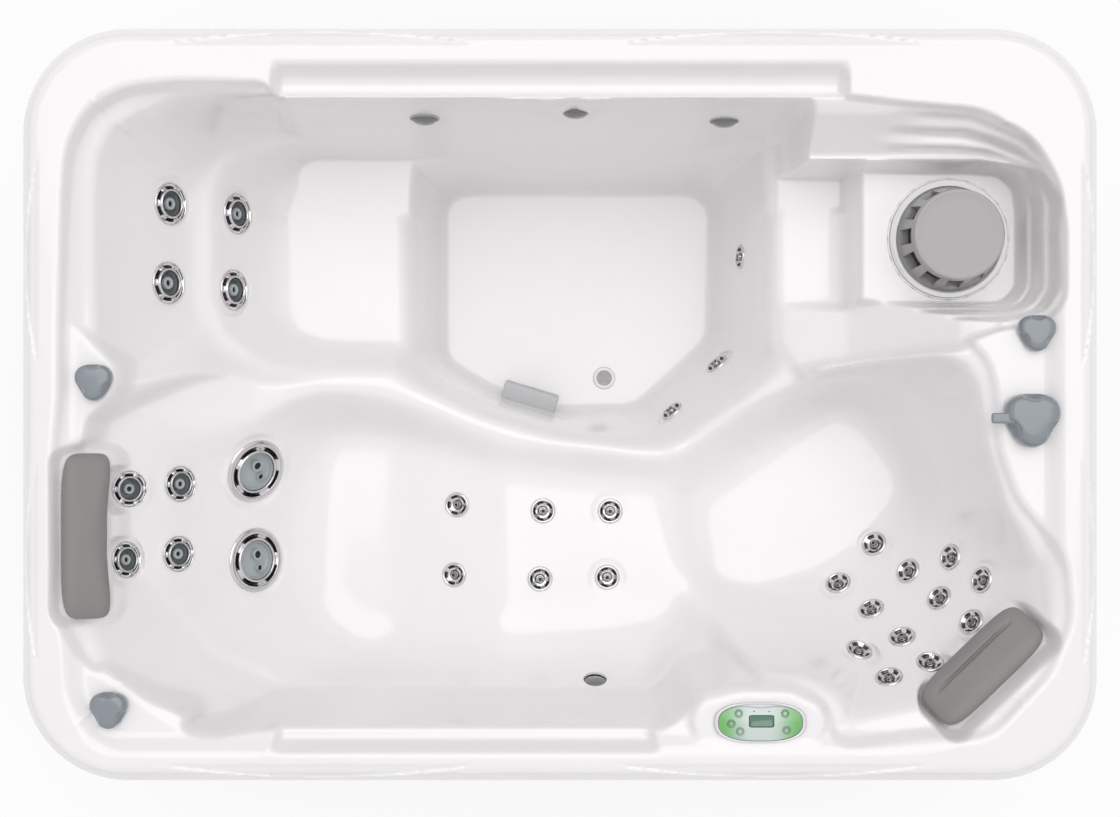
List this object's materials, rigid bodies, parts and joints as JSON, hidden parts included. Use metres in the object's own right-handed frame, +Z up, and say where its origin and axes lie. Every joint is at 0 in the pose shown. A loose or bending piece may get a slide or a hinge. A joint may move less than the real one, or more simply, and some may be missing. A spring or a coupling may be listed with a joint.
{
  "type": "acrylic hot tub",
  "caption": "Rectangular acrylic hot tub with a lounge, a bucket seat and a corner seat, turning jets, pillows, filter, control panel, cabinet and pump.",
  "frame": {"origin": "middle of the tub's footprint, on the floor", "axes": "+X along the tub towards the filter and the diverter, +Y towards the back shelf, +Z up"},
  "size_m": [2.13, 1.492, 0.78],
  "materials": {
    "acrylic_shell": "white marbled acrylic, glossy",
    "seat_jet_1": "polished, grey nozzle",
    "seat_jet_2": "polished, grey nozzle",
    "seat_jet_3": "polished, grey nozzle",
    "seat_jet_4": "polished, grey nozzle",
    "neck_jet_1": "polished, grey nozzle",
    "neck_jet_2": "polished, grey nozzle",
    "neck_jet_3": "polished, grey nozzle",
    "neck_jet_4": "polished, grey nozzle",
    "back_jet_1": "polished, grey nozzle",
    "back_jet_2": "polished, grey nozzle",
    "lounge_jet_1": "polished, grey nozzle",
    "lounge_jet_2": "polished, grey nozzle",
    "lounge_jet_3": "polished, grey nozzle",
    "lounge_jet_4": "polished, grey nozzle",
    "lounge_jet_5": "polished, grey nozzle",
    "lounge_jet_6": "polished, grey nozzle",
    "footwell_jet_1": "polished, grey nozzle",
    "footwell_jet_2": "polished, grey nozzle",
    "footwell_jet_3": "polished, grey nozzle",
    "back_jet_1_rotor": "moulded, glossy",
    "back_jet_2_rotor": "moulded, glossy",
    "corner_jet_row_1": "polished, grey nozzles",
    "corner_jet_row_2": "polished, grey nozzles",
    "corner_jet_row_3": "polished, grey nozzles",
    "corner_jet_row_4": "polished, grey nozzles",
    "pillow_left": "soft foam skin, satin",
    "pillow_corner": "soft foam skin, satin",
    "air_knob_left": "moulded, glossy",
    "air_knob_front": "moulded, glossy",
    "air_knob_right": "moulded, glossy",
    "water_diverter": "moulded, glossy",
    "filter_lid": "moulded, satin",
    "weir_basket": "moulded, satin",
    "filter_cartridge": "pleated filter fleece",
    "filter_housing": "moulded, satin",
    "floor_drain": "moulded, satin",
    "suction_cover": "moulded, satin",
    "control_panel": "printed film, glossy",
    "button_jets": "soft membrane",
    "button_light": "soft membrane",
    "button_air": "soft membrane",
    "button_up": "soft membrane",
    "button_down": "soft membrane",
    "back_light_left": "clear lens, glossy",
    "back_light_middle": "clear lens, glossy",
    "back_light_right": "clear lens, glossy",
    "front_light": "clear lens, glossy",
    "cabinet_back": "wood-grain cabinet panel, matte",
    "cabinet_left_end": "wood-grain cabinet panel, matte",
    "cabinet_right_end": "wood-grain cabinet panel, matte",
    "access_panel": "wood-grain cabinet panel, matte",
    "base_pan": "moulded, matte",
    "pump_wet_end": "moulded, matte",
    "pump_motor": "finned, painted",
    "pump_impeller": "moulded, matte",
    "heater": "brushed",
    "control_box": "painted, satin",
    "supply_manifold": "PVC, satin",
    "drain_valve": "PVC, satin"
  },
  "bodies": {
    "tub": {"acrylic_shell": "acrylic_shell", "corner_jet_row_1": "corner_jet_row_1", "corner_jet_row_2": "corner_jet_row_2", "corner_jet_row_3": "corner_jet_row_3", "corner_jet_row_4": "corner_jet_row_4", "filter_housing": "filter_housing", "floor_drain": "floor_drain", "suction_cover": "suction_cover", "control_panel": "control_panel", "back_light_left": "back_light_left", "back_light_middle": "back_light_middle", "back_light_right": "back_light_right", "front_light": "front_light", "cabinet_back": "cabinet_back", "cabinet_left_end": "cabinet_left_end", "cabinet_right_end": "cabinet_right_end", "base_pan": "base_pan", "pump_wet_end": "pump_wet_end", "pump_motor": "pump_motor", "heater": "heater", "control_box": "control_box", "supply_manifold": "supply_manifold", "drain_valve": "drain_valve"},
    "seat_jet_1": {"seat_jet_1": "seat_jet_1"},
    "seat_jet_2": {"seat_jet_2": "seat_jet_2"},
    "seat_jet_3": {"seat_jet_3": "seat_jet_3"},
    "seat_jet_4": {"seat_jet_4": "seat_jet_4"},
    "neck_jet_1": {"neck_jet_1": "neck_jet_1"},
    "neck_jet_2": {"neck_jet_2": "neck_jet_2"},
    "neck_jet_3": {"neck_jet_3": "neck_jet_3"},
    "neck_jet_4": {"neck_jet_4": "neck_jet_4"},
    "back_jet_1": {"back_jet_1": "back_jet_1"},
    "back_jet_2": {"back_jet_2": "back_jet_2"},
    "lounge_jet_1": {"lounge_jet_1": "lounge_jet_1"},
    "lounge_jet_2": {"lounge_jet_2": "lounge_jet_2"},
    "lounge_jet_3": {"lounge_jet_3": "lounge_jet_3"},
    "lounge_jet_4": {"lounge_jet_4": "lounge_jet_4"},
    "lounge_jet_5": {"lounge_jet_5": "lounge_jet_5"},
    "lounge_jet_6": {"lounge_jet_6": "lounge_jet_6"},
    "footwell_jet_1": {"footwell_jet_1": "footwell_jet_1"},
    "footwell_jet_2": {"footwell_jet_2": "footwell_jet_2"},
    "footwell_jet_3": {"footwell_jet_3": "footwell_jet_3"},
    "back_jet_1_rotor": {"back_jet_1_rotor": "back_jet_1_rotor"},
    "back_jet_2_rotor": {"back_jet_2_rotor": "back_jet_2_rotor"},
    "air_knob_left": {"air_knob_left": "air_knob_left"},
    "air_knob_front": {"air_knob_front": "air_knob_front"},
    "air_knob_right": {"air_knob_right": "air_knob_right"},
    "water_diverter": {"water_diverter": "water_diverter"},
    "pillow_left": {"pillow_left": "pillow_left"},
    "pillow_corner": {"pillow_corner": "pillow_corner"},
    "button_jets": {"button_jets": "button_jets"},
    "button_light": {"button_light": "button_light"},
    "button_air": {"button_air": "button_air"},
    "button_up": {"button_up": "button_up"},
    "button_down": {"button_down": "button_down"},
    "filter_cartridge": {"filter_cartridge": "filter_cartridge"},
    "weir_basket": {"weir_basket": "weir_basket"},
    "filter_lid": {"filter_lid": "filter_lid"},
    "access_panel": {"access_panel": "access_panel"},
    "pump_impeller": {"pump_impeller": "pump_impeller"}
  },
  "joints": [
    {"name": "seat_jet_1_turn", "type": "hinge", "parent": "tub", "child": "seat_jet_1", "pos_m": [-0.81046, 0.41701, 0.54939], "axis": [0.8294, -0.0149, 0.5585], "range_deg": [0, 100]},
    {"name": "seat_jet_2_turn", "type": "hinge", "parent": "tub", "child": "seat_jet_2", "pos_m": [-0.69544, 0.4103, 0.41637], "axis": [0.8678, 0, 0.4969], "range_deg": [0, 100]},
    {"name": "seat_jet_3_turn", "type": "hinge", "parent": "tub", "child": "seat_jet_3", "pos_m": [-0.81366, 0.25215, 0.55417], "axis": [0.8298, 0.0022, 0.5581], "range_deg": [0, 100]},
    {"name": "seat_jet_4_turn", "type": "hinge", "parent": "tub", "child": "seat_jet_4", "pos_m": [-0.70077, 0.24618, 0.42574], "axis": [0.8711, 0, 0.4912], "range_deg": [0, 100]},
    {"name": "neck_jet_1_turn", "type": "hinge", "parent": "tub", "child": "neck_jet_1", "pos_m": [-0.87543, -0.17158, 0.63204], "axis": [0.5708, 0, 0.8211], "range_deg": [0, 100]},
    {"name": "neck_jet_2_turn", "type": "hinge", "parent": "tub", "child": "neck_jet_2", "pos_m": [-0.7881, -0.16487, 0.55685], "axis": [0.7159, 0, 0.6982], "range_deg": [0, 100]},
    {"name": "neck_jet_3_turn", "type": "hinge", "parent": "tub", "child": "neck_jet_3", "pos_m": [-0.87969, -0.31481, 0.64063], "axis": [0.8068, 0.0786, 0.5855], "range_deg": [0, 100]},
    {"name": "neck_jet_4_turn", "type": "hinge", "parent": "tub", "child": "neck_jet_4", "pos_m": [-0.79129, -0.30959, 0.5601], "axis": [0.7123, 0, 0.7019], "range_deg": [0, 100]},
    {"name": "back_jet_1_turn", "type": "hinge", "parent": "tub", "child": "back_jet_1", "pos_m": [-0.65178, -0.14323, 0.4345], "axis": [0.6547, -0.275, 0.7041], "range_deg": [0, 100]},
    {"name": "back_jet_2_turn", "type": "hinge", "parent": "tub", "child": "back_jet_2", "pos_m": [-0.65497, -0.33495, 0.41642], "axis": [0.726, 0, 0.6877], "range_deg": [0, 100]},
    {"name": "lounge_jet_1_turn", "type": "hinge", "parent": "tub", "child": "lounge_jet_1", "pos_m": [-0.22578, -0.22007, 0.3464], "axis": [-0.2618, 0, 0.9651], "range_deg": [0, 100]},
    {"name": "lounge_jet_2_turn", "type": "hinge", "parent": "tub", "child": "lounge_jet_2", "pos_m": [-0.03728, -0.23201, 0.36558], "axis": [0.1127, 0, 0.9936], "range_deg": [0, 100]},
    {"name": "lounge_jet_3_turn", "type": "hinge", "parent": "tub", "child": "lounge_jet_3", "pos_m": [0.1097, -0.2335, 0.35], "axis": [0.0132, 0, 0.9999], "range_deg": [0, 100]},
    {"name": "lounge_jet_4_turn", "type": "hinge", "parent": "tub", "child": "lounge_jet_4", "pos_m": [-0.23217, -0.37375, 0.34467], "axis": [-0.2618, 0, 0.9651], "range_deg": [0, 100]},
    {"name": "lounge_jet_5_turn", "type": "hinge", "parent": "tub", "child": "lounge_jet_5", "pos_m": [-0.04367, -0.38046, 0.3663], "axis": [0.1127, 0, 0.9936], "range_deg": [0, 100]},
    {"name": "lounge_jet_6_turn", "type": "hinge", "parent": "tub", "child": "lounge_jet_6", "pos_m": [0.1033, -0.37822, 0.35], "axis": [0.0422, 0, 0.9991], "range_deg": [0, 100]},
    {"name": "footwell_jet_1_turn", "type": "hinge", "parent": "tub", "child": "footwell_jet_1", "pos_m": [0.40257, 0.32973, 0.27483], "axis": [-0.9745, 0.0065, 0.2241], "range_deg": [0, 100]},
    {"name": "footwell_jet_2_turn", "type": "hinge", "parent": "tub", "child": "footwell_jet_2", "pos_m": [0.35571, 0.09176, 0.20977], "axis": [-0.6365, 0.6928, 0.3389], "range_deg": [0, 100]},
    {"name": "footwell_jet_3_turn", "type": "hinge", "parent": "tub", "child": "footwell_jet_3", "pos_m": [0.2524, -0.01492, 0.23447], "axis": [-0.6259, 0.702, 0.3397], "range_deg": [0, 100]},
    {"name": "back_jet_1_rotor_spin", "type": "hinge", "parent": "back_jet_1", "child": "back_jet_1_rotor", "pos_m": [-0.65178, -0.14323, 0.4345], "axis": [0.6547, -0.275, 0.7041], "continuous": true},
    {"name": "back_jet_2_rotor_spin", "type": "hinge", "parent": "back_jet_2", "child": "back_jet_2_rotor", "pos_m": [-0.65497, -0.33495, 0.41642], "axis": [0.726, 0, 0.6877], "continuous": true},
    {"name": "air_knob_left_turn", "type": "hinge", "parent": "tub", "child": "air_knob_left", "pos_m": [-0.91697, 0.04625, 0.738], "axis": [0, 0, 1], "range_deg": [0, 120]},
    {"name": "air_knob_front_turn", "type": "hinge", "parent": "tub", "child": "air_knob_front", "pos_m": [-0.88714, -0.59829, 0.74025], "axis": [0, 0, 1], "range_deg": [0, 120]},
    {"name": "air_knob_right_turn", "type": "hinge", "parent": "tub", "child": "air_knob_right", "pos_m": [0.9372, 0.14323, 0.74], "axis": [0, 0, 1], "range_deg": [0, 120]},
    {"name": "water_diverter_turn", "type": "hinge", "parent": "tub", "child": "water_diverter", "pos_m": [0.92655, -0.02686, 0.74], "axis": [0, 0, 1], "range_deg": [0, 180]},
    {"name": "pillow_left_pull", "type": "slide", "parent": "tub", "child": "pillow_left", "axis": [0.3746, 0, 0.9272], "range_m": [0, 0.06]},
    {"name": "pillow_corner_pull", "type": "slide", "parent": "tub", "child": "pillow_corner", "axis": [-0.3473, 0.3597, 0.866], "range_m": [0, 0.06]},
    {"name": "button_jets_press", "type": "slide", "parent": "tub", "child": "button_jets", "axis": [0, 0, -1], "range_m": [0, 0.001], "stiffness_N_per_m": 800, "springref_m": -0.0005},
    {"name": "button_light_press", "type": "slide", "parent": "tub", "child": "button_light", "axis": [0, 0, -1], "range_m": [0, 0.001], "stiffness_N_per_m": 800, "springref_m": -0.0005},
    {"name": "button_air_press", "type": "slide", "parent": "tub", "child": "button_air", "axis": [0, 0, -1], "range_m": [0, 0.001], "stiffness_N_per_m": 800, "springref_m": -0.0005},
    {"name": "button_up_press", "type": "slide", "parent": "tub", "child": "button_up", "axis": [0, 0, -1], "range_m": [0, 0.001], "stiffness_N_per_m": 800, "springref_m": -0.0005},
    {"name": "button_down_press", "type": "slide", "parent": "tub", "child": "button_down", "axis": [0, 0, -1], "range_m": [0, 0.001], "stiffness_N_per_m": 800, "springref_m": -0.0005},
    {"name": "cartridge_lift", "type": "slide", "parent": "tub", "child": "filter_cartridge", "axis": [0, 0, 1], "range_m": [0, 0.34]},
    {"name": "weir_lift", "type": "slide", "parent": "filter_cartridge", "child": "weir_basket", "axis": [0, 0, 1], "range_m": [0, 0.12]},
    {"name": "lid_lift", "type": "slide", "parent": "weir_basket", "child": "filter_lid", "axis": [0, 0, 1], "range_m": [0, 0.06]},
    {"name": "access_panel_pull", "type": "slide", "parent": "tub", "child": "access_panel", "axis": [0, -1, 0], "range_m": [0, 0.3]},
    {"name": "impeller_spin", "type": "hinge", "parent": "tub", "child": "pump_impeller", "pos_m": [-0.24, -0.46252, 0.135], "axis": [1, 0, 0], "continuous": true}
  ]
}
